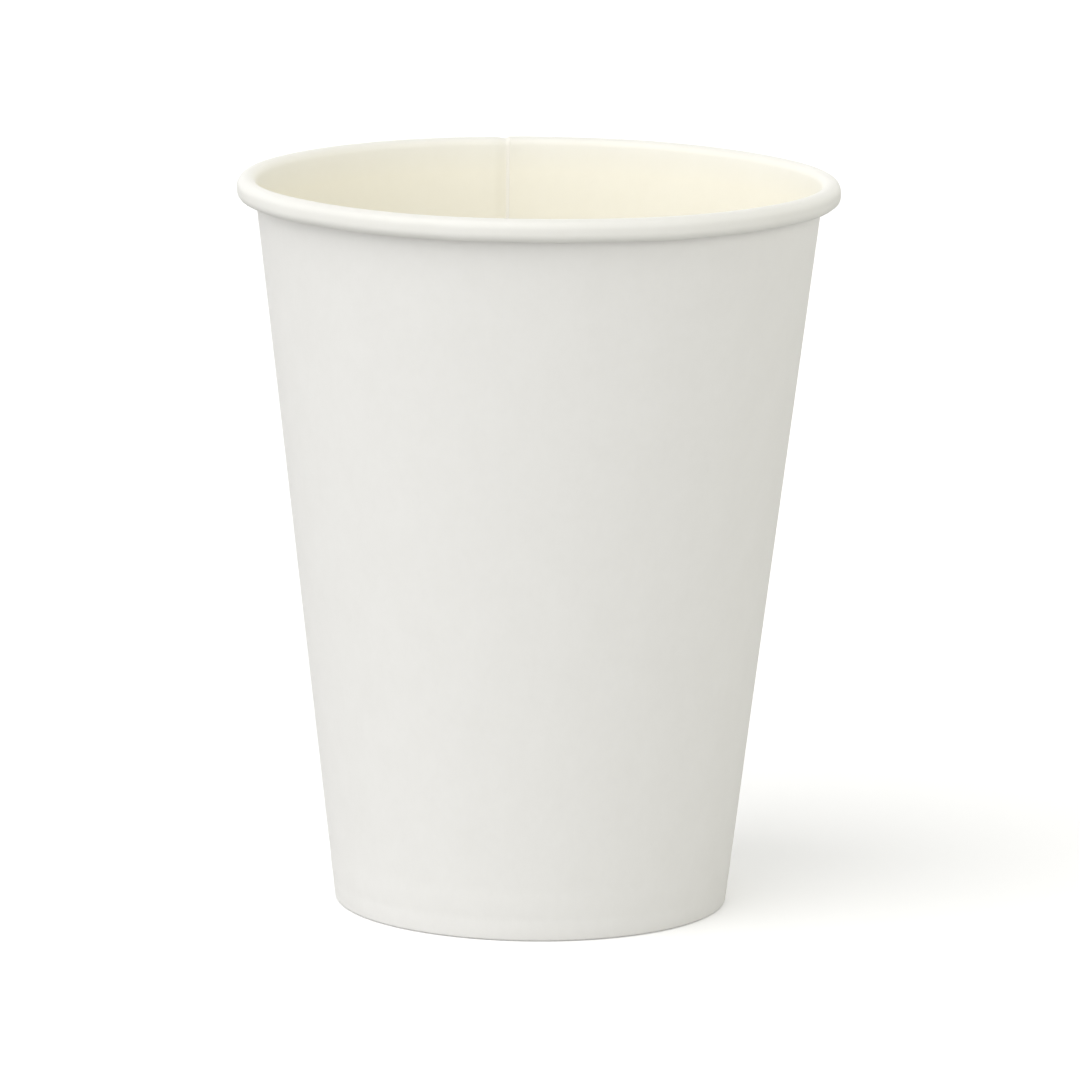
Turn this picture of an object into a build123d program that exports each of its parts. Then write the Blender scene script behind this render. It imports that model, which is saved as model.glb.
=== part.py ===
from build123d import *
import math
import os

# Single-wall paper hot cup, 12 oz (360 ml) size, standing upright.
# Origin at the centre of the foot on the table, +Z up the cup, the side seam at +Y.
# Two pieces of coated board: the sidewall with its rolled rim and folded foot, and
# the bottom, whose turned-down skirt is gripped in the sidewall's fold.
# All lengths in millimetres.

# ---- driving dimensions ------------------------------------------------------
CUP_HEIGHT = 110.0  # table to the top of the rim
RIM_RADIUS = 45.0  # outside of the rolled rim
FOOT_RADIUS = 29.5  # outside of the wall, run down to the table
WALL_T = 0.36  # sidewall board, about 300 g/m2 with its lining
BASE_T = 0.30  # bottom board, about 240 g/m2 with its lining
BOND = 0.01  # melted lining between two layers

CURL_RADIUS = 1.45  # over the top of the rim, outside of the board
CURL_FLAT = 0.70  # short upright band on the outside of the rim
CURL_GAP = 0.05  # between the tucked tail and the wall
CURL_TAIL = 0.60  # tail tucked up inside the roll

HEM_HEIGHT = 5.8  # top of the folded-in hem
NEST_PITCH = 7.7  # top of the bottom: the next cup's foot stands here in a stack
BASE_BEND = 0.80  # outside bend from the bottom into its skirt
SKIRT_END = 0.95  # lower edge of the skirt, inside the fold

LAP_WIDTH = 6.5  # overlap of the side seam
LAP_RAMP = 2.5  # the outer layer's climb over the inner layer's edge
LAP_LOW = 0.45
LAP_HIGH = 106.85

# ---- the wall's slope --------------------------------------------------------
# The wall runs straight from the foot and meets the rim's roll at a tangent.
curl_r = RIM_RADIUS - CURL_RADIUS
curl_z = CUP_HEIGHT - CURL_RADIUS
run = math.hypot(curl_r - FOOT_RADIUS, curl_z)
TAPER = math.atan2(curl_r - FOOT_RADIUS, curl_z) - math.asin(
    (CURL_RADIUS - WALL_T) / run
)
SIN, COS, TAN = math.sin(TAPER), math.cos(TAPER), math.tan(TAPER)
up_wall = (SIN, COS)
taper_deg = math.degrees(TAPER)


def outside(z):
    """Radius of the wall's outer face at height z."""
    return FOOT_RADIUS + z * TAN


def inside(z):
    """Radius of the wall's inner face at height z."""
    return outside(z) - WALL_T / COS


# ---- section points, as (radius, height) -------------------------------------
pocket = BASE_T + 2 * BOND
floor_out = (inside(WALL_T), WALL_T)
floor_in = (inside(WALL_T) - pocket / COS, WALL_T)
hem_top = (floor_in[0] + (HEM_HEIGHT - WALL_T) * TAN, HEM_HEIGHT)
roll_start = (curl_r - CURL_RADIUS * COS, curl_z + CURL_RADIUS * SIN)

# The roll's lower turn is a little tighter, so that its tail passes beside the wall.
roll_low_z = curl_z - CURL_FLAT
low_radius = (
    (RIM_RADIUS - FOOT_RADIUS) * COS - roll_low_z * SIN - CURL_GAP
) / (1 + COS)

# ---- sidewall ----------------------------------------------------------------
# One sheet seen edge-on: down the hem, round the fold, up the wall, over and under
# the rim. It is drawn along the lined face and thickened outwards.
with BuildPart() as wall:
    with BuildSketch(Plane.XZ) as wall_section:
        with BuildLine() as sheet:
            # the lined face, from the hem's top to the end of the tucked tail
            lined = Polyline(hem_top, floor_in, floor_out, roll_start)
            over = JernArc(
                start=roll_start,
                tangent=up_wall,
                radius=CURL_RADIUS,
                arc_size=-(180 - taper_deg),
            )
            band = Line(over @ 1, (over @ 1) + Vector(0, -CURL_FLAT))
            under = JernArc(
                start=band @ 1,
                tangent=(0, -1),
                radius=low_radius,
                arc_size=-(180 + taper_deg),
            )
            tail = Line(under @ 1, (under @ 1) + CURL_TAIL * Vector(SIN, COS))
            # the end of the tail, and back along the bare face
            tail_end = Line(tail @ 1, (tail @ 1) + WALL_T * Vector(COS, -SIN))
            tail_back = Line(tail_end @ 1, (under @ 1) + WALL_T * Vector(COS, -SIN))
            under_back = JernArc(
                start=tail_back @ 1,
                tangent=(-SIN, -COS),
                radius=low_radius - WALL_T,
                arc_size=180 + taper_deg,
            )
            band_back = Line(under_back @ 1, (under_back @ 1) + Vector(0, CURL_FLAT))
            over_back = JernArc(
                start=band_back @ 1,
                tangent=(0, 1),
                radius=CURL_RADIUS - WALL_T,
                arc_size=180 - taper_deg,
            )
            wall_back = Line(
                over_back @ 1, Vector(*floor_out) + WALL_T * Vector(COS, -SIN)
            )
            fold_out = JernArc(
                start=wall_back @ 1,
                tangent=(-SIN, -COS),
                radius=WALL_T,
                arc_size=-(90 - taper_deg),
            )
            foot = Line(fold_out @ 1, (floor_in[0], 0))
            fold_in = JernArc(
                start=foot @ 1,
                tangent=(-1, 0),
                radius=WALL_T,
                arc_size=-(90 + taper_deg),
            )
            hem_back = Line(
                fold_in @ 1, Vector(*hem_top) + WALL_T * Vector(-COS, SIN)
            )
            Line(hem_back @ 1, hem_top)
        make_face()
    revolve(axis=Axis.Z)


def seam_layer(z):
    """The seam's raised outer layer, cut across at height z: an arc over the lap,
    a square cut edge on the +X side and a long ramp on the -X side."""
    half = LAP_WIDTH / 2
    top, root = outside(z) + WALL_T / COS, outside(z) - 0.12
    foot = -(half + LAP_RAMP + 0.45)

    def on(radius, x):
        return (x, math.sqrt(radius * radius - x * x))

    with BuildSketch(Plane.XY.offset(z)) as cut:
        with BuildLine():
            Line(on(root, half), on(top, half))
            ThreePointArc(on(top, half), (0, top), on(top, -half))
            Line(on(top, -half), on(root, foot))
            ThreePointArc(on(root, foot), on(root, (foot + half) / 2), on(root, half))
        make_face()
    return cut.sketch


def seam_recess(z):
    """The shallow groove inside, where the outer layer climbs away from the cup's
    hollow beside the inner layer's cut edge."""
    half = LAP_WIDTH / 2
    step, hollow = inside(z) + WALL_T / COS, inside(z) - 0.15
    foot = -(half + LAP_RAMP + 0.45)

    def on(radius, x):
        return (x, math.sqrt(radius * radius - x * x))

    with BuildSketch(Plane.XY.offset(z)) as cut:
        with BuildLine():
            Polyline(
                on(hollow, -half),
                on(step, -half),
                on(hollow, foot),
                close=True,
            )
        make_face()
    return cut.sketch


with BuildPart() as sidewall:
    add(wall.part)
    loft([seam_layer(LAP_LOW), seam_layer(LAP_HIGH)], ruled=True)
    loft(
        [seam_recess(NEST_PITCH + 0.6), seam_recess(roll_start[1] - 0.1)],
        ruled=True,
        mode=Mode.SUBTRACT,
    )

# ---- bottom ------------------------------------------------------------------
# A flat disc that turns down into a skirt. The skirt follows the wall's slope.
skirt_r = inside(0) - BOND / COS
bend_r = skirt_r + (NEST_PITCH - BASE_BEND) * TAN - BASE_BEND / COS
bend_start = (bend_r, NEST_PITCH)

with BuildPart() as bottom_disc:
    with BuildSketch(Plane.XZ) as disc_section:
        with BuildLine() as blank:
            top = Line((0, NEST_PITCH), bend_start)
            turn = JernArc(
                start=bend_start,
                tangent=(1, 0),
                radius=BASE_BEND,
                arc_size=-(90 + taper_deg),
            )
            down = (turn @ 1).Y - SKIRT_END
            skirt = Line(turn @ 1, (turn @ 1) + Vector(-down * TAN, -down))
            skirt_end = Line(skirt @ 1, (skirt @ 1) + BASE_T * Vector(-COS, SIN))
            skirt_back = Line(skirt_end @ 1, (turn @ 1) + BASE_T * Vector(-COS, SIN))
            turn_back = JernArc(
                start=skirt_back @ 1,
                tangent=up_wall,
                radius=BASE_BEND - BASE_T,
                arc_size=90 + taper_deg,
            )
            Polyline(turn_back @ 1, (0, NEST_PITCH - BASE_T), (0, NEST_PITCH))
        make_face()
    revolve(axis=Axis.Z)

# ---- pieces ------------------------------------------------------------------
os.makedirs("parts", exist_ok=True)
sidewall.part.label = "sidewall"
bottom_disc.part.label = "bottom_disc"
export_step(sidewall.part, "parts/sidewall.step")
export_step(bottom_disc.part, "parts/bottom_disc.step")

print(f"wall slope {taper_deg:.3f} deg, low roll radius {low_radius:.3f}")
print(f"roll starts at r {roll_start[0]:.3f} z {roll_start[1]:.3f}")
print(f"underside of the rim z {roll_low_z - low_radius:.3f}")
print(f"fold floor r {floor_in[0]:.3f} to {floor_out[0]:.3f}, hem top r {hem_top[0]:.3f}")
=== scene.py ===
import math

import bpy
import numpy as np
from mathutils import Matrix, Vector


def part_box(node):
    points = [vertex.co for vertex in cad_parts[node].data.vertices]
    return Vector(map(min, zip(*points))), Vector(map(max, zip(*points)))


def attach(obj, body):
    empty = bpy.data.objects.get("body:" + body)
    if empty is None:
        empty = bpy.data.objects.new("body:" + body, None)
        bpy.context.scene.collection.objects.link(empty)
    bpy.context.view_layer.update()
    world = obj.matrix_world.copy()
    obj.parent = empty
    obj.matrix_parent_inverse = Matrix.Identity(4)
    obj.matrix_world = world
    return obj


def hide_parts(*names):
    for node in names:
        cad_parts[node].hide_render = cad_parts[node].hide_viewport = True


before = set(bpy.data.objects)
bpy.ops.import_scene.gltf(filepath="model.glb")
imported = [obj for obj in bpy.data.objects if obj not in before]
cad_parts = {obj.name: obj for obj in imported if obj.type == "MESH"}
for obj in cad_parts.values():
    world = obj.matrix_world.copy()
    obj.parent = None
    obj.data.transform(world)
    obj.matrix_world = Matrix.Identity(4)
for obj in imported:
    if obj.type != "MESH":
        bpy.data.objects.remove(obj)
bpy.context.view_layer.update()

rng = np.random.default_rng(12)
MM = 0.001

# ---- the cup's own dimensions, in millimetres, as in the frame ---------------
side_lo, side_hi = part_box("sidewall")
disc_lo, disc_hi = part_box("bottom_disc")
CUP_H = 110.0
RIM_R = 45.0
FOOT_R = 29.5
T = 0.36  # sidewall board
TB = 0.30  # bottom board
FILM = 0.01  # melted lining between layers
R1, BAND, TAIL = 1.45, 0.70, 0.60
HEM_Z, NEST, BEND, SKIRT_Z = 5.8, 7.7, 0.80, 0.95
LAP = 3.25  # half of the side seam's overlap
RAMP = 1.9  # where the outer layer climbs onto the inner one
assert abs(side_hi.z / MM - CUP_H) < 0.1 and abs(disc_hi.z / MM - NEST) < 0.1

c1 = (RIM_R - R1, CUP_H - R1)
run = math.hypot(c1[0] - FOOT_R, c1[1])
A = math.atan2(c1[0] - FOOT_R, c1[1]) - math.asin((R1 - T) / run)
SIN, COS, TAN = math.sin(A), math.cos(A), math.tan(A)


def inside(z):
    return FOOT_R + z * TAN - T / COS


def step(a, b, x):
    k = np.clip((np.asarray(x, float) - a) / (b - a), 0, 1)
    return k * k * (3 - 2 * k)


def bump_at(x, mid, half):
    """A smooth hump of height 1 at mid, gone at half either side."""
    k = np.clip(1 - np.abs(np.asarray(x, float) - mid) / half, 0, 1)
    return k * k * (3 - 2 * k)


# ---- small irregularities, all periodic round the cup -------------------------
def waves(orders, tall, size):
    return [
        (n, rng.uniform(-tall, tall), rng.uniform(0, 2 * math.pi), size * rng.normal())
        for n in orders
    ]


def sway(table, phi, z=0.0):
    total = 0.0
    for n, m, phase, size in table:
        total = total + size * np.cos(n * phi + m * z / 110 * 2 * math.pi + phase)
    return total


WALL_WAVES = waves([3, 4, 5, 6, 7, 8, 9, 11], 0.9, 0.016)
FINE_WAVES = waves([13, 16, 19, 23, 27, 31, 37], 1.6, 0.0030)
RIM_WAVES = waves([2, 3, 5, 7], 0.0, 0.022)
LIP_WAVES = waves([4, 6, 9, 13, 17, 22, 29, 36], 0.0, 0.010)
LIP_DOWN = waves([3, 5, 8, 12, 18, 26], 0.0, 0.014)
HEM_WAVES = waves([5, 9, 14, 22, 31], 0.0, 0.05)


def settle(r, z, phi, x):
    """The whole cup's slight departure from a true cone, the same for both faces
    of the board. x is the distance from the seam's middle, in mm."""
    high = np.clip(z / 110, 0, 1)
    oval = 0.16 * np.cos(2 * (phi - 0.7)) * high**1.5
    # the stiff double board at the seam pulls the wall into a slight keel
    keel = 0.34 * np.exp(-(np.sqrt(x * x + 1.4**2) - 1.4) / 5.5) * step(2, 70, z)
    loose = step(4, 30, z) * (1 - 0.6 * step(95, 107, z))
    r = r + oval + keel
    r = r + loose * (sway(WALL_WAVES, phi, z) + sway(FINE_WAVES, phi, z))
    z = z + sway(RIM_WAVES, phi) * step(80, 108, z)
    return r, z


# ---- the sidewall: one sheet, seen edge-on ------------------------------------
class Edge:
    """Points down the sheet's section, along its lined face, each with the
    direction through the board to the bare face."""

    def __init__(self):
        self.p, self.n = [], []

    def line(self, a, b, count, last=False):
        a, b = np.array(a, float), np.array(b, float)
        d = (b - a) / np.linalg.norm(b - a)
        for k in range(count + (1 if last else 0)):
            self.p.append(a + (b - a) * k / count)
            self.n.append(np.array([d[1], -d[0]]))

    def rows(self, points, normals):
        self.p += list(points)
        self.n += list(normals)

    def turn(self, centre, radius, start, end, count, inner):
        """inner: the lined face is on the small side of the turn."""
        for k in range(count):
            a = math.radians(start + (end - start) * k / count)
            n = np.array([math.cos(a), math.sin(a)])
            self.p.append(np.array(centre) + n * (radius if inner else -radius))
            self.n.append(n)


pocket = TB + 2 * FILM
deg = math.degrees(A)
out = np.array([inside(T), T])
inn = np.array([inside(T) - pocket / COS, T])
hem = np.array([inn[0] + (HEM_Z - T) * TAN, HEM_Z])
start = np.array([c1[0] - R1 * COS, c1[1] + R1 * SIN])
low_z = c1[1] - BAND
gap = 0.13
R2 = ((RIM_R - FOOT_R) * COS - low_z * SIN - gap) / (1 + COS)
c2 = (RIM_R - R2, low_z)
tight = 0.05  # lined side of the fold's two creases


def crease(corner, n1, n2):
    """Centre of a small fillet in a left turn, from the two right-hand normals."""
    n1, n2 = -np.array(n1), -np.array(n2)
    return corner + tight * (n1 + n2) / (1 + n1 @ n2)


k_in = crease(inn, (-COS, SIN), (0, -1))
k_out = crease(out, (0, -1), (COS, -SIN))
e = Edge()
e.line(hem, k_in + tight * np.array([-COS, SIN]), 10)
e.turn(k_in, tight, 180 - deg, 270, 6, True)
e.line(k_in + [0, -tight], k_out + [0, -tight], 1)
e.turn(k_out, tight, 270, 360 - deg, 6, True)
foot_up = k_out + tight * np.array([COS, -SIN])
# more rows low on the wall, where the hem shows through, and near the rim
span = np.linalg.norm(start - foot_up)
marks = np.concatenate(
    [np.linspace(0, 10, 21)[:-1], np.linspace(10, span - 8, 24)[:-1], np.linspace(span - 8, span, 8)[:-1]]
)
up = np.array([SIN, COS])
e.rows([foot_up + up * m for m in marks], [np.array([COS, -SIN])] * len(marks))
e.turn(c1, R1, -deg, -180, 18, False)
e.line((RIM_R, c1[1]), (RIM_R, low_z), 3)
e.turn(c2, R2, -180, -360 - deg, 16, False)
tail0 = np.array([c2[0] - R2 * COS, c2[1] + R2 * SIN])
e.line(tail0, tail0 + TAIL * up, 2, last=True)
P, N = np.array(e.p), np.array(e.n)
S = np.concatenate([[0], np.cumsum(np.linalg.norm(np.diff(P, axis=0), axis=1))])
m = len(P)
i_wall = 10 + 6 + 1 + 6
i_roll = i_wall + len(marks)
i_band = i_roll + 18
order = np.arange(m)
on_hem = order < 10
on_wall = (order >= i_wall) & (order < i_roll)
w_fold = np.where(order < i_wall, 1.0, 1 - step(2, 22, P[:, 1]))
w_roll = np.where(order >= i_roll, 1.0, step(103, 108.4, P[:, 1]) * (order >= i_wall))
w_lip = step(i_roll + 4, i_band, order)

# columns, as millimetres round the sheet at the reference radius
R0 = 37.0
ROUND = 2 * math.pi * R0
first = [-3.25, -2.7, -2.5, -2.1, -1.5, -0.75, 0, 0.75, 1.5, 2.2, 2.8, 3.1, 3.25, 3.45, 3.9, 4.6, 5.5, 6.6]
main = list(np.linspace(8, ROUND - 8, 349))
last = [-7.3, -6.7, -6.2, -5.8, -5.4, -5.0, -4.6, -4.2, -3.85, -3.55, -3.25, -2.9, -2.2, -1.5, -0.75, 0, 0.75, 1.5, 2.2, 2.7, 2.95, 3.25]
C = np.array(first + main + [ROUND + k for k in last])
cols = len(C)
X = np.where(C < ROUND / 2, C, C - ROUND)  # from the seam's middle
outer = C > ROUND / 2
ramp = np.where(outer, step(-LAP - RAMP, -LAP + 0.05, X), 0.0)
in_lap = 1 - step(LAP, LAP + 3.0, np.abs(X))
bump = 0.16 * (1 - step(LAP - 0.5, LAP + 2.5, np.abs(X)))


def angle(c, r):
    """Angle from +Y towards +X. The seam is as wide at the foot as at the rim."""
    low, high = 8.0 / r, 2 * math.pi - 8.0 / r
    mid = low + (c - 8.0) / (ROUND - 16.0) * (high - low)
    return np.where(c <= 8, c / r, np.where(c >= ROUND - 8, 2 * math.pi + (c - ROUND) / r, mid))


def face(side):
    """Vertices (cols, m, 3) of the lined face (0) or the bare face (1), in mm."""
    c = np.repeat(C[:, None], m, 1)
    x = np.repeat(X[:, None], m, 1)
    lap = in_lap[:, None]
    thin = 1 - lap * (0.30 * w_roll + 0.12 * w_fold)[None, :]
    t = T * thin
    d = ramp[:, None] * (t + FILM) + side * t
    # the wheel that presses the hem leaves teeth on its inner face
    teeth = np.cos(2 * math.pi * np.round(C, 6)[:, None] / (ROUND - 16.0) * 87)
    wheel = bump_at(P[:, 1], 3.3, 2.6)[None, :] * on_hem[None, :]
    if side:
        d = d - wheel * 0.05 * (1 + teeth)
        # three layers below the hem's top: a faint step and a pressed ring outside
        z = P[:, 1][None, :]
        ring = on_wall[None, :] * (
            -0.045 * bump_at(z, 3.3, 0.9)
            + 0.03 * (1 - step(5.6, 7.4, z)) * step(0.4, 1.6, z)
            - 0.02 * bump_at(z, 8.1, 1.2)
            + 0.006 * teeth * bump_at(z, 3.6, 2.4)
        )
        d = d + ring
    r = P[:, 0][None, :] + N[:, 0][None, :] * d
    z = P[:, 1][None, :] + N[:, 1][None, :] * d
    # the doubled fold stands on its lower layer
    lift = (T * 0.9 + FILM) * lap * w_fold[None, :]
    r, z = r + lift * SIN, z + lift * COS
    phi = angle(c, np.maximum(r, 1.0))
    # the rolled lip wavers a little, and is fuller over the seam
    lip = w_lip[None, :]
    r = r + lip * (sway(LIP_WAVES, phi) + bump[:, None])
    z = z + lip * 1.0 * sway(LIP_DOWN, phi) * step(0, 1, (CUP_H - z) / 1.6)
    z = z + on_hem[None, :] * (z - 0.4) / HEM_Z * sway(HEM_WAVES, phi)
    # the inner layer's cut edge is a little skived, so it faces into the cup
    if not side:
        c = c + 0.50 * np.where(C < -3.2, 1.0, 0.0)[:, None]
        phi = angle(c, np.maximum(r, 1.0))
    else:
        # the outer layer's is crushed a little by the clamp that seals it
        c = c - 0.24 * np.where(C > ROUND + 3.2, 1.0, 0.0)[:, None]
        phi = angle(c, np.maximum(r, 1.0))
    r, z = settle(r, z, phi, x)
    return np.stack([r * np.sin(phi), r * np.cos(phi), z], -1)


lined, bare = face(0), face(1)
verts = np.concatenate([lined, bare[:, ::-1]], 1)  # (cols, 2m, 3)
K = 2 * m


def mesh_object(name, verts, quads, slots, materials):
    me = bpy.data.meshes.new(name)
    me.vertices.add(len(verts))
    me.vertices.foreach_set("co", (verts * MM).astype(np.float32).ravel())
    sizes = np.array([len(q) for q in quads])
    me.loops.add(int(sizes.sum()))
    me.loops.foreach_set("vertex_index", np.concatenate(quads).astype(np.int32))
    me.polygons.add(len(quads))
    me.polygons.foreach_set("loop_start", np.concatenate([[0], np.cumsum(sizes)[:-1]]).astype(np.int32))
    me.polygons.foreach_set("material_index", np.array(slots, np.int32))
    me.update(calc_edges=True)
    me.validate()
    me.polygons.foreach_set("use_smooth", np.ones(len(quads), bool))
    for mat in materials:
        me.materials.append(mat)
    ob = bpy.data.objects.new(name, me)
    bpy.context.scene.collection.objects.link(ob)
    return ob


def volume(verts, quads):
    total = 0.0
    tri = []
    for q in quads:
        for k in range(1, len(q) - 1):
            tri.append((q[0], q[k], q[k + 1]))
    a, b, c = (verts[np.array(tri)[:, k]] for k in range(3))
    return float(np.einsum("ij,ij->i", a, np.cross(b, c)).sum() / 6)


def mark_sharp(me, test):
    pairs = np.zeros(len(me.edges) * 2, np.int32)
    me.edges.foreach_get("vertices", pairs)
    a, b = pairs.reshape(-1, 2).T
    layer = me.attributes.get("sharp_edge") or me.attributes.new("sharp_edge", "BOOLEAN", "EDGE")
    layer.data.foreach_set("value", test(a, b))


def point_vectors(me, name, values):
    layer = me.attributes.new(name, "FLOAT_VECTOR", "POINT")
    layer.data.foreach_set("vector", np.asarray(values, np.float32).ravel())


# ---- materials ------------------------------------------------------------------
class Tree:
    def __init__(self, name):
        self.mat = bpy.data.materials.new(name)
        self.mat.use_nodes = True
        self.nodes = self.mat.node_tree.nodes
        self.links = self.mat.node_tree.links
        self.nodes.clear()
        self.out = self.nodes.new("ShaderNodeOutputMaterial")
        self.bsdf = self.nodes.new("ShaderNodeBsdfPrincipled")
        self.links.new(self.bsdf.outputs[0], self.out.inputs[0])

    def node(self, kind, **values):
        n = self.nodes.new(kind)
        for key, value in values.items():
            setattr(n, key, value)
        return n

    def link(self, a, b):
        self.links.new(a, b)

    def noise(self, vector, scale, detail=3.0, rough=0.55, distortion=0.0):
        n = self.node("ShaderNodeTexNoise")
        self.link(vector, n.inputs["Vector"])
        n.inputs["Scale"].default_value = scale
        n.inputs["Detail"].default_value = detail
        n.inputs["Roughness"].default_value = rough
        n.inputs["Distortion"].default_value = distortion
        return n.outputs["Fac"]

    def scaled(self, vector, xyz, move=(0, 0, 0)):
        n = self.node("ShaderNodeMapping")
        self.link(vector, n.inputs["Vector"])
        n.inputs["Scale"].default_value = xyz
        n.inputs["Location"].default_value = move
        return n.outputs[0]

    def math(self, op, a, b=None, clamp=False):
        n = self.node("ShaderNodeMath", operation=op, use_clamp=clamp)
        for k, v in enumerate((a, b)):
            if v is None:
                continue
            if isinstance(v, (int, float)):
                n.inputs[k].default_value = v
            else:
                self.link(v, n.inputs[k])
        return n.outputs[0]

    def fit(self, value, a, b, lo, hi):
        n = self.node("ShaderNodeMapRange")
        self.link(value, n.inputs["Value"])
        for key, v in zip(("From Min", "From Max", "To Min", "To Max"), (a, b, lo, hi)):
            n.inputs[key].default_value = v
        return n.outputs["Result"]

    def ramp(self, value, stops):
        n = self.node("ShaderNodeValToRGB")
        self.link(value, n.inputs["Fac"])
        el = n.color_ramp.elements
        while len(el) < len(stops):
            el.new(0.5)
        for item, (at, rgb) in zip(el, stops):
            item.position = at
            item.color = (*rgb, 1)
        return n.outputs["Color"]

    def mix(self, fac, a, b, mode="MIX"):
        n = self.node("ShaderNodeMix", data_type="RGBA", blend_type=mode)
        if isinstance(fac, (int, float)):
            n.inputs["Factor"].default_value = fac
        else:
            self.link(fac, n.inputs["Factor"])
        for key, v in (("A", a), ("B", b)):
            sockets = [s for s in n.inputs if s.name == key and s.type == "RGBA"]
            if isinstance(v, tuple):
                sockets[0].default_value = (*v, 1)
            else:
                self.link(v, sockets[0])
        return [s for s in n.outputs if s.type == "RGBA"][0]


def board(name, light, dark, rough, spread, fibre, gloss, rim=None):
    """Bleached paperboard. Its cloudy formation, the fibres lying along the blank
    and the calendered surface are in the blank's own flat millimetres."""
    t = Tree(name)
    at = t.node("ShaderNodeAttribute", attribute_name="sheet").outputs["Vector"]
    cloud = t.noise(t.scaled(at, (0.16, 0.12, 1)), 1.0, 4.0, 0.6)
    mottle = t.noise(t.scaled(at, (0.75, 0.5, 1), (13, 5, 0)), 1.0, 3.0, 0.6)
    strand = t.noise(t.scaled(at, (5.0, 0.85, 1), (3, 9, 0)), 1.0, 3.0, 0.65, 0.7)
    across = t.noise(t.scaled(at, (1.1, 6.0, 1), (31, 2, 0)), 1.0, 3.0, 0.65, 0.9)
    grain = t.noise(t.scaled(at, (9, 9, 1), (1, 7, 0)), 1.0, 2.0, 0.6)
    web = t.math("MULTIPLY", t.math("ADD", strand, across), 0.5)
    tone = t.math("ADD", t.math("MULTIPLY", cloud, 0.45), t.math("MULTIPLY", mottle, 0.3))
    tone = t.math("ADD", tone, t.math("MULTIPLY", web, 0.25))
    colour = t.ramp(t.fit(tone, 0.36, 0.64, 0, 1), [(0.0, dark), (1.0, light)])
    # sparse long fibres, a shade darker
    hair = t.noise(t.scaled(at, (3.4, 0.42, 1), (57, 21, 0)), 1.0, 2.0, 0.5, 1.6)
    line = t.math("ABSOLUTE", t.math("SUBTRACT", hair, 0.5))
    line = t.fit(line, 0.0, 0.012, 1.0, 0.0)
    patch = t.fit(mottle, 0.5, 0.68, 0.0, 1.0)
    line = t.math("MULTIPLY", t.math("MULTIPLY", line, patch), 0.35)
    colour = t.mix(line, colour, tuple(0.955 * v for v in dark))
    if rim:
        # painted bounce light: the lined face is tinted cream down in the cup, as warm light bounced inside it would
        # tint it, and the band rolled over the rim is multiplied back towards neutral white, though the board is one
        # colour
        low, high, rim_neutral_tint = rim
        up_sheet = t.node("ShaderNodeSeparateXYZ")
        t.link(at, up_sheet.inputs[0])
        colour = t.mix(t.fit(up_sheet.outputs["Y"], low, high, 0, 1), colour, t.mix(1.0, colour, rim_neutral_tint, "MULTIPLY"))
    t.link(colour, t.bsdf.inputs["Base Color"])
    gloss_map = t.math("ADD", t.math("MULTIPLY", mottle, 0.6), t.math("MULTIPLY", web, 0.4))
    t.link(t.fit(gloss_map, 0.35, 0.65, rough - spread, rough + spread), t.bsdf.inputs["Roughness"])
    t.bsdf.inputs["Specular IOR Level"].default_value = gloss
    t.bsdf.inputs["IOR"].default_value = 1.5
    height = t.math("ADD", t.math("MULTIPLY", web, 1.0), t.math("MULTIPLY", grain, 0.35))
    height = t.math("ADD", height, t.math("MULTIPLY", mottle, 1.3))
    b = t.node("ShaderNodeBump")
    b.inputs["Strength"].default_value = 1.0
    b.inputs["Distance"].default_value = fibre * MM
    t.link(height, b.inputs["Height"])
    t.link(b.outputs[0], t.bsdf.inputs["Normal"])
    return t.mat


def raw_edge(name):
    """The cut edge: bare fibre in thin layers, without coating."""
    t = Tree(name)
    at = t.node("ShaderNodeAttribute", attribute_name="sheet").outputs["Vector"]
    ply = t.noise(t.scaled(at, (2.2, 2.2, 14)), 1.0, 3.0, 0.6, 0.6)
    tuft = t.noise(t.scaled(at, (7, 7, 7), (4, 4, 4)), 1.0, 3.0, 0.7, 0.8)
    v = t.math("ADD", t.math("MULTIPLY", ply, 0.6), t.math("MULTIPLY", tuft, 0.4))
    colour = t.ramp(t.fit(v, 0.35, 0.65, 0, 1), [(0.0, (0.84, 0.815, 0.75)), (1.0, (0.93, 0.915, 0.87))])
    t.link(colour, t.bsdf.inputs["Base Color"])
    t.link(t.fit(v, 0.3, 0.7, 0.82, 0.98), t.bsdf.inputs["Roughness"])
    t.bsdf.inputs["Specular IOR Level"].default_value = 0.25
    b = t.node("ShaderNodeBump")
    b.inputs["Strength"].default_value = 1.0
    b.inputs["Distance"].default_value = 0.03 * MM
    t.link(v, b.inputs["Height"])
    t.link(b.outputs[0], t.bsdf.inputs["Normal"])
    return t.mat


outside_mat = board("board_outside", (0.879, 0.872, 0.850), (0.853, 0.845, 0.821), 0.62, 0.07, 0.010, 0.35)
roll_s = S[i_roll]
# the lined face's cream is partly the lining's own ivory and partly painted warm bounce light from inside the cup;
# the band over the rim is taken back towards neutral
inside_mat = board(
    "board_lined", (0.946, 0.919, 0.818), (0.929, 0.900, 0.793), 0.45, 0.06, 0.006, 0.40,
    rim=(roll_s - 4.0, roll_s + 3.0, (0.908, 0.928, 0.999)),
)
edge_mat = raw_edge("board_cut_edge")

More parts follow.
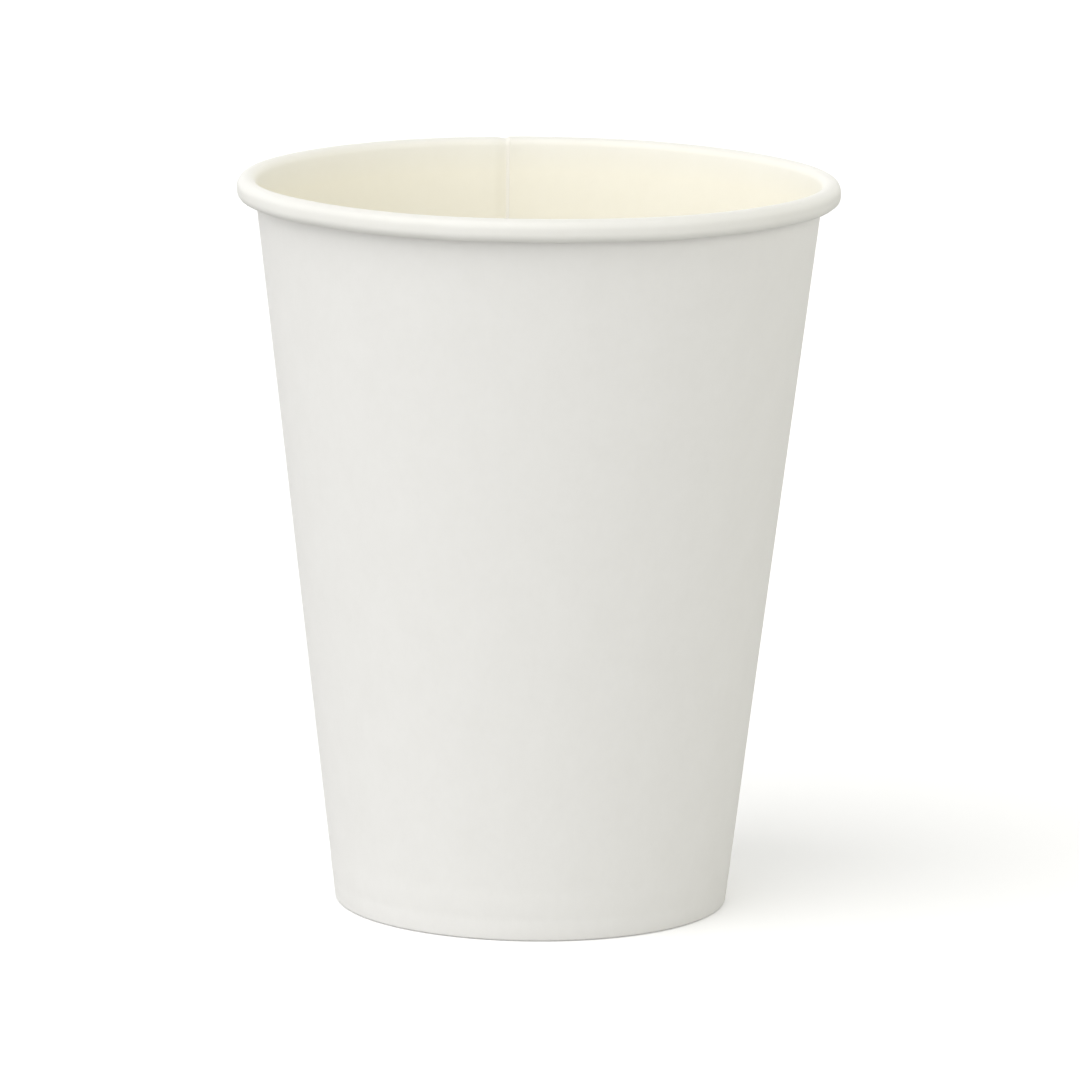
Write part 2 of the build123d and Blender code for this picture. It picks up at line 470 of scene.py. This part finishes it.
# ---- sidewall mesh ----------------------------------------------------------------
grid = np.arange(cols * K).reshape(cols, K)
a = grid[:-1, :]
b = grid[1:, :]
body = np.stack([a, b, np.roll(b, -1, 1), np.roll(a, -1, 1)], -1)
quads = [q for q in body.reshape(-1, 4)]
kind = np.zeros((cols - 1, K), int)
kind[:, : m - 1] = 1  # lined
kind[:, m - 1] = 2  # the tail's cut end
kind[:, m : K - 1] = 0  # bare
kind[:, K - 1] = 2  # the hem's cut top
slots = list(kind.ravel())
for col, flip in ((0, True), (cols - 1, False)):
    for k in range(m - 1):
        q = [grid[col, k], grid[col, k + 1], grid[col, K - 2 - k], grid[col, K - 1 - k]]
        quads.append(np.array(q if flip else q[::-1]))
        slots.append(2)
flat = verts.reshape(-1, 3)
if volume(flat, quads) < 0:
    quads = [q[::-1] for q in quads]
side_ob = mesh_object("cup_sidewall", flat, quads, slots, [outside_mat, inside_mat, edge_mat])
rings = {0, m - 1, m, K - 1}


def side_sharp(p, q):
    kp, kq, ip, iq = p % K, q % K, p // K, q // K
    ring = (kp == kq) & np.isin(kp, list(rings))
    ends = (ip == iq) & ((ip == 0) | (ip == cols - 1))
    return ring | ends


mark_sharp(side_ob.data, side_sharp)
s_full = np.concatenate([S, S[::-1]])
sheet = np.zeros((cols, K, 3))
sheet[:, :, 0] = C[:, None]
sheet[:, :, 1] = s_full[None, :]
sheet[:, m:, 2] = 40.0
point_vectors(side_ob.data, "sheet", sheet.reshape(-1, 3))

# flat layout of the blank, for a baked copy: lined face below, bare face above
uv_u = 0.004 + 0.992 * (C - C[0]) / (C[-1] - C[0])
total = S[-1]


def side_uv(col, k, cell_kind, corner_first):
    """Layout place of vertex (col, k)."""
    lined_v = 0.004 + 0.485 * s_full[k] / total
    bare_v = 0.511 + 0.485 * s_full[k] / total
    return uv_u[col], np.where(k < m, lined_v, bare_v)


me = side_ob.data
uv_layer = me.uv_layers.new(name="OFBake", do_init=False)
loop_v = np.zeros(len(me.loops), np.int32)
me.loops.foreach_get("vertex_index", loop_v)
loop_start = np.zeros(len(me.polygons), np.int32)
me.polygons.foreach_get("loop_start", loop_start)
mats = np.zeros(len(me.polygons), np.int32)
me.polygons.foreach_get("material_index", mats)
lc, lk = loop_v // K, loop_v % K
u, v = side_uv(lc, lk, None, None)
loop_mat = np.repeat(mats, 4)
face_id = np.repeat(np.arange(len(me.polygons)), 4)
n_body = (cols - 1) * K
is_cap = face_id >= n_body
# thin strips between and beside the two big faces
row = face_id % K
tail_end = (~is_cap) & (row == m - 1)
hem_end = (~is_cap) & (row == K - 1)
v = np.where(tail_end, np.where(lk < m, 0.4925, 0.4975), v)
v = np.where(hem_end, np.where(lk < m, 0.5005, 0.5065), v)
cap_last = is_cap & (lc == cols - 1)
cap_k = np.where(lk < m, lk, K - 1 - lk)
cap_u = 0.01 + 0.48 * S[cap_k] / total + np.where(cap_last, 0.5, 0.0)
u = np.where(is_cap, cap_u, u)
v = np.where(is_cap, np.where(lk < m, 0.9975, 0.9995), v)
uv_layer.uv.foreach_set("vector", np.stack([u, v], 1).astype(np.float32).ravel())
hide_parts("sidewall")
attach(side_ob, "root")

# ---- the bottom ---------------------------------------------------------------------
skirt_r = inside(0) - FILM / COS
bend_r = skirt_r + (NEST - BEND) * TAN - BEND / COS
kb = np.array([bend_r, NEST - BEND])
f = Edge()
radii = np.concatenate([np.linspace(0.35, bend_r - 4, 17)[:-1], np.linspace(bend_r - 4, bend_r, 9)[:-1]])
f.rows([np.array([r, NEST]) for r in radii], [np.array([0.0, -1.0])] * len(radii))
# normals point through the board, to its under side
for k in range(11):
    a_ = math.radians(90 - (90 + deg) * k / 11)
    n_ = np.array([math.cos(a_), math.sin(a_)])
    f.p.append(kb + BEND * n_)
    f.n.append(-n_)
turn_end = kb + BEND * np.array([COS, -SIN])
f.line(turn_end, (skirt_r + SKIRT_Z * TAN, SKIRT_Z), 12, last=True)
for k in range(len(radii) + 11, len(f.n)):
    f.n[k] = np.array([-COS, SIN])
Q, M = np.array(f.p), np.array(f.n)
SB = np.concatenate([[0.35], 0.35 + np.cumsum(np.linalg.norm(np.diff(Q, axis=0), axis=1))])
mb = len(Q)
around = 288
phi = np.arange(around) / around * 2 * math.pi


def disc_face(side):
    ph = np.repeat(phi[:, None], mb, 1)
    r0 = np.repeat(Q[:, 0][None], around, 0)
    d = side * TB
    r = r0 + M[:, 0][None] * d
    z = Q[:, 1][None] + M[:, 1][None] * d + 0 * ph
    flatness = np.clip(1 - (r0 / bend_r) ** 2, 0, 1)
    z = z - 0.22 * flatness * (Q[:, 1][None] > NEST - 0.01)
    # puckers where the flat disc is drawn down into its skirt
    pleat = np.cos(96 * ph + 1.3 * np.sin(5 * ph) + 0.8 * np.sin(11 * ph + 2))
    near = step(bend_r - 2.6, bend_r + 0.3, r0) * step(5.6, 7.4, Q[:, 1][None])
    z = z + 0.035 * pleat * near * (1 - side * 0.3)
    # a shallow ring pressed by the forming tool
    z = z - 0.06 * bump_at(r0, bend_r - 1.9, 0.9) * (Q[:, 1][None] > NEST - 0.01)
    return np.stack([r * np.sin(ph), r * np.cos(ph), z], -1)


top, under = disc_face(0), disc_face(1)
bv = np.concatenate([top, under[:, ::-1]], 1)
KB = 2 * mb
bgrid = np.arange(around * KB).reshape(around, KB)
bq, bslots = [], []
a = bgrid[:, :-1]
b = np.roll(bgrid, -1, 0)[:, :-1]
a2 = bgrid[:, 1:]
b2 = np.roll(bgrid, -1, 0)[:, 1:]
cells = np.stack([a, b, b2, a2], -1)
bkind = np.zeros((around, KB - 1), int)
bkind[:, : mb - 1] = 1
bkind[:, mb - 1] = 2
bq = [q for q in cells.reshape(-1, 4)]
bslots = list(bkind.ravel())
centre_top, centre_low = around * KB, around * KB + 1
extra = np.array([[0, 0, top[:, 0, 2].mean()], [0, 0, under[:, 0, 2].mean()]])
bflat = np.concatenate([bv.reshape(-1, 3), extra])
for k in range(around):
    n = (k + 1) % around
    bq.append(np.array([bgrid[k, 0], centre_top, bgrid[n, 0]]))
    bslots.append(1)
    bq.append(np.array([bgrid[n, KB - 1], centre_low, bgrid[k, KB - 1]]))
    bslots.append(0)
if volume(bflat, bq) < 0:
    bq = [q[::-1] for q in bq]
disc_out = board("bottom_board", (0.872, 0.862, 0.838), (0.848, 0.837, 0.810), 0.68, 0.06, 0.012, 0.3)
# the lined top is as cream as the lined wall: partly the lining's own ivory, partly painted warm bounce light from
# inside the cup
disc_in = board("bottom_board_lined", (0.935, 0.910, 0.815), (0.916, 0.890, 0.790), 0.42, 0.06, 0.007, 0.45)
disc_ob = mesh_object("cup_bottom", bflat, bq, bslots, [disc_out, disc_in, edge_mat])


def disc_sharp(p, q):
    kp, kq = p % KB, q % KB
    live = (p < around * KB) & (q < around * KB)
    return live & (kp == kq) & np.isin(kp, [mb - 1, mb])


mark_sharp(disc_ob.data, disc_sharp)
sb_full = np.concatenate([SB, SB[::-1]])
flat_xy = np.stack(
    [sb_full[None, :] * np.sin(phi)[:, None], sb_full[None, :] * np.cos(phi)[:, None], np.zeros((around, KB))], -1
)
flat_xy[:, mb:, 2] = 40.0
flat_all = np.concatenate([flat_xy.reshape(-1, 3), [[0, 0, 0], [0, 0, 40.0]]])
flat_all[:, :2] += 300.0
point_vectors(disc_ob.data, "sheet", flat_all)
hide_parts("bottom_disc")
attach(disc_ob, "root")

# ---- floor and light ------------------------------------------------------------------
def floor_sheet(name, z, material):
    ring_n = 96
    fv, ff = [(0, 0, z)], []
    for radius in (0.25, 1.0, 3.0, 9.0):
        for k in range(ring_n):
            a_ = 2 * math.pi * k / ring_n
            fv.append((radius * math.cos(a_), radius * math.sin(a_), z))
    for k in range(ring_n):
        n = (k + 1) % ring_n
        ff.append((0, 1 + k, 1 + n))
        for q in range(3):
            lo_, hi_ = 1 + q * ring_n, 1 + (q + 1) * ring_n
            ff.append((lo_ + k, hi_ + k, hi_ + n, lo_ + n))
    mesh = bpy.data.meshes.new(name)
    mesh.from_pydata(fv, [], ff)
    mesh.materials.append(material)
    ob = bpy.data.objects.new(name, mesh)
    bpy.context.scene.collection.objects.link(ob)
    return ob


def floor_paint(name, low, high, glow=0.0):
    t = Tree(name)
    at = t.node("ShaderNodeTexCoord").outputs["Object"]
    t.link(t.ramp(t.noise(at, 2.5, 2.0, 0.5), [(0.3, low), (0.7, high)]), t.bsdf.inputs["Base Color"])
    t.bsdf.inputs["Roughness"].default_value = 0.8
    t.bsdf.inputs["Specular IOR Level"].default_value = 0.1
    t.bsdf.inputs["Emission Color"].default_value = (1, 1, 1, 1)
    t.bsdf.inputs["Emission Strength"].default_value = glow
    return t.mat


# The white floor that shows, and just under it a duller one that the light bounces off,
# so that the underside of the rim is shaded as it is on a plain table.
seen = floor_sheet("floor", -0.00003, floor_paint("floor_white", (0.955, 0.955, 0.953), (0.962, 0.962, 0.96), 0.16))
seen.visible_diffuse = seen.visible_glossy = seen.visible_transmission = False
seen.visible_shadow = False
bounce = floor_sheet("floor_bounce", -0.00012, floor_paint("floor_dull", (0.50, 0.50, 0.498), (0.515, 0.515, 0.512)))
bounce.visible_camera = False

world = bpy.data.worlds.new("studio")
bpy.context.scene.world = world
world.use_nodes = True
wn, wl = world.node_tree.nodes, world.node_tree.links
bg = wn["Background"]
way = wn.new("ShaderNodeTexCoord").outputs["Generated"]
parts = wn.new("ShaderNodeSeparateXYZ")
wl.new(way, parts.inputs[0])
# a pale studio: soft light from low all round, and a dull ceiling
sky = wn.new("ShaderNodeValToRGB")
wl.new(parts.outputs["Z"], sky.inputs["Fac"])
stops = [(0.02, 1.25), (0.10, 1.10), (0.35, 1.72), (0.70, 0.30), (0.92, 0.22)]
while len(sky.color_ramp.elements) < len(stops):
    sky.color_ramp.elements.new(0.5)
for item, (place, value) in zip(sky.color_ramp.elements, stops):
    item.position = place
    item.color = (value, value, 0.995 * value, 1)
# and a little warmer on the right, where cream board stands round it
side = wn.new("ShaderNodeMapRange")
wl.new(parts.outputs["X"], side.inputs["Value"])
side.inputs["From Min"].default_value, side.inputs["From Max"].default_value = 0.0, 1.0
warm = wn.new("ShaderNodeMix")
warm.data_type, warm.blend_type = "RGBA", "MIX"
wl.new(side.outputs["Result"], warm.inputs["Factor"])
ends = [socket for socket in warm.inputs if socket.type == "RGBA"]
ends[0].default_value, ends[1].default_value = (1, 1, 1, 1), (0.985, 0.978, 0.90, 1)
both = wn.new("ShaderNodeMix")
both.data_type, both.blend_type = "RGBA", "MULTIPLY"
both.inputs["Factor"].default_value = 1.0
pair = [socket for socket in both.inputs if socket.type == "RGBA"]
wl.new(sky.outputs["Color"], pair[0])
wl.new([socket for socket in warm.outputs if socket.type == "RGBA"][0], pair[1])
wl.new([socket for socket in both.outputs if socket.type == "RGBA"][0], bg.inputs["Color"])
bg.inputs["Strength"].default_value = 1.0

sun_data = bpy.data.lights.new("key", "SUN")
sun_data.energy = 1.42
sun_data.angle = math.radians(56)
sun_data.color = (1.0, 0.995, 0.985)
sun = bpy.data.objects.new("key", sun_data)
bpy.context.scene.collection.objects.link(sun)
side_on, up_on = math.radians(50), math.radians(58)
toward = Vector((-math.sin(side_on) * math.cos(up_on), -math.cos(side_on) * math.cos(up_on), math.sin(up_on)))
sun.rotation_euler = (-toward).to_track_quat("-Z", "Y").to_euler()

# ---- camera ----------------------------------------------------------------------------
cam_data = bpy.data.cameras.new("camera")
cam_data.sensor_width = 36.0
cam_data.lens = 266.1
cam_data.clip_start, cam_data.clip_end = 0.05, 30.0
cam = bpy.data.objects.new("camera", cam_data)
bpy.context.scene.collection.objects.link(cam)
turn = math.radians(2.5)
dist = 1.179
cam.location = (-dist * math.sin(turn), -dist * math.cos(turn), 0.2775)
aim = Vector((0.0008, 0.0, 0.0549))
cam.rotation_euler = (aim - cam.location).to_track_quat("-Z", "Y").to_euler()
cam.rotation_euler.rotate_axis("Z", math.radians(0.72))
bpy.context.scene.camera = cam
bpy.context.scene.view_settings.view_transform = "Standard"
bpy.context.scene.view_settings.look = "None"
bpy.context.scene.view_settings.exposure = 0.0
bpy.context.scene.view_settings.gamma = 1.0

bpy.context.view_layer.update()
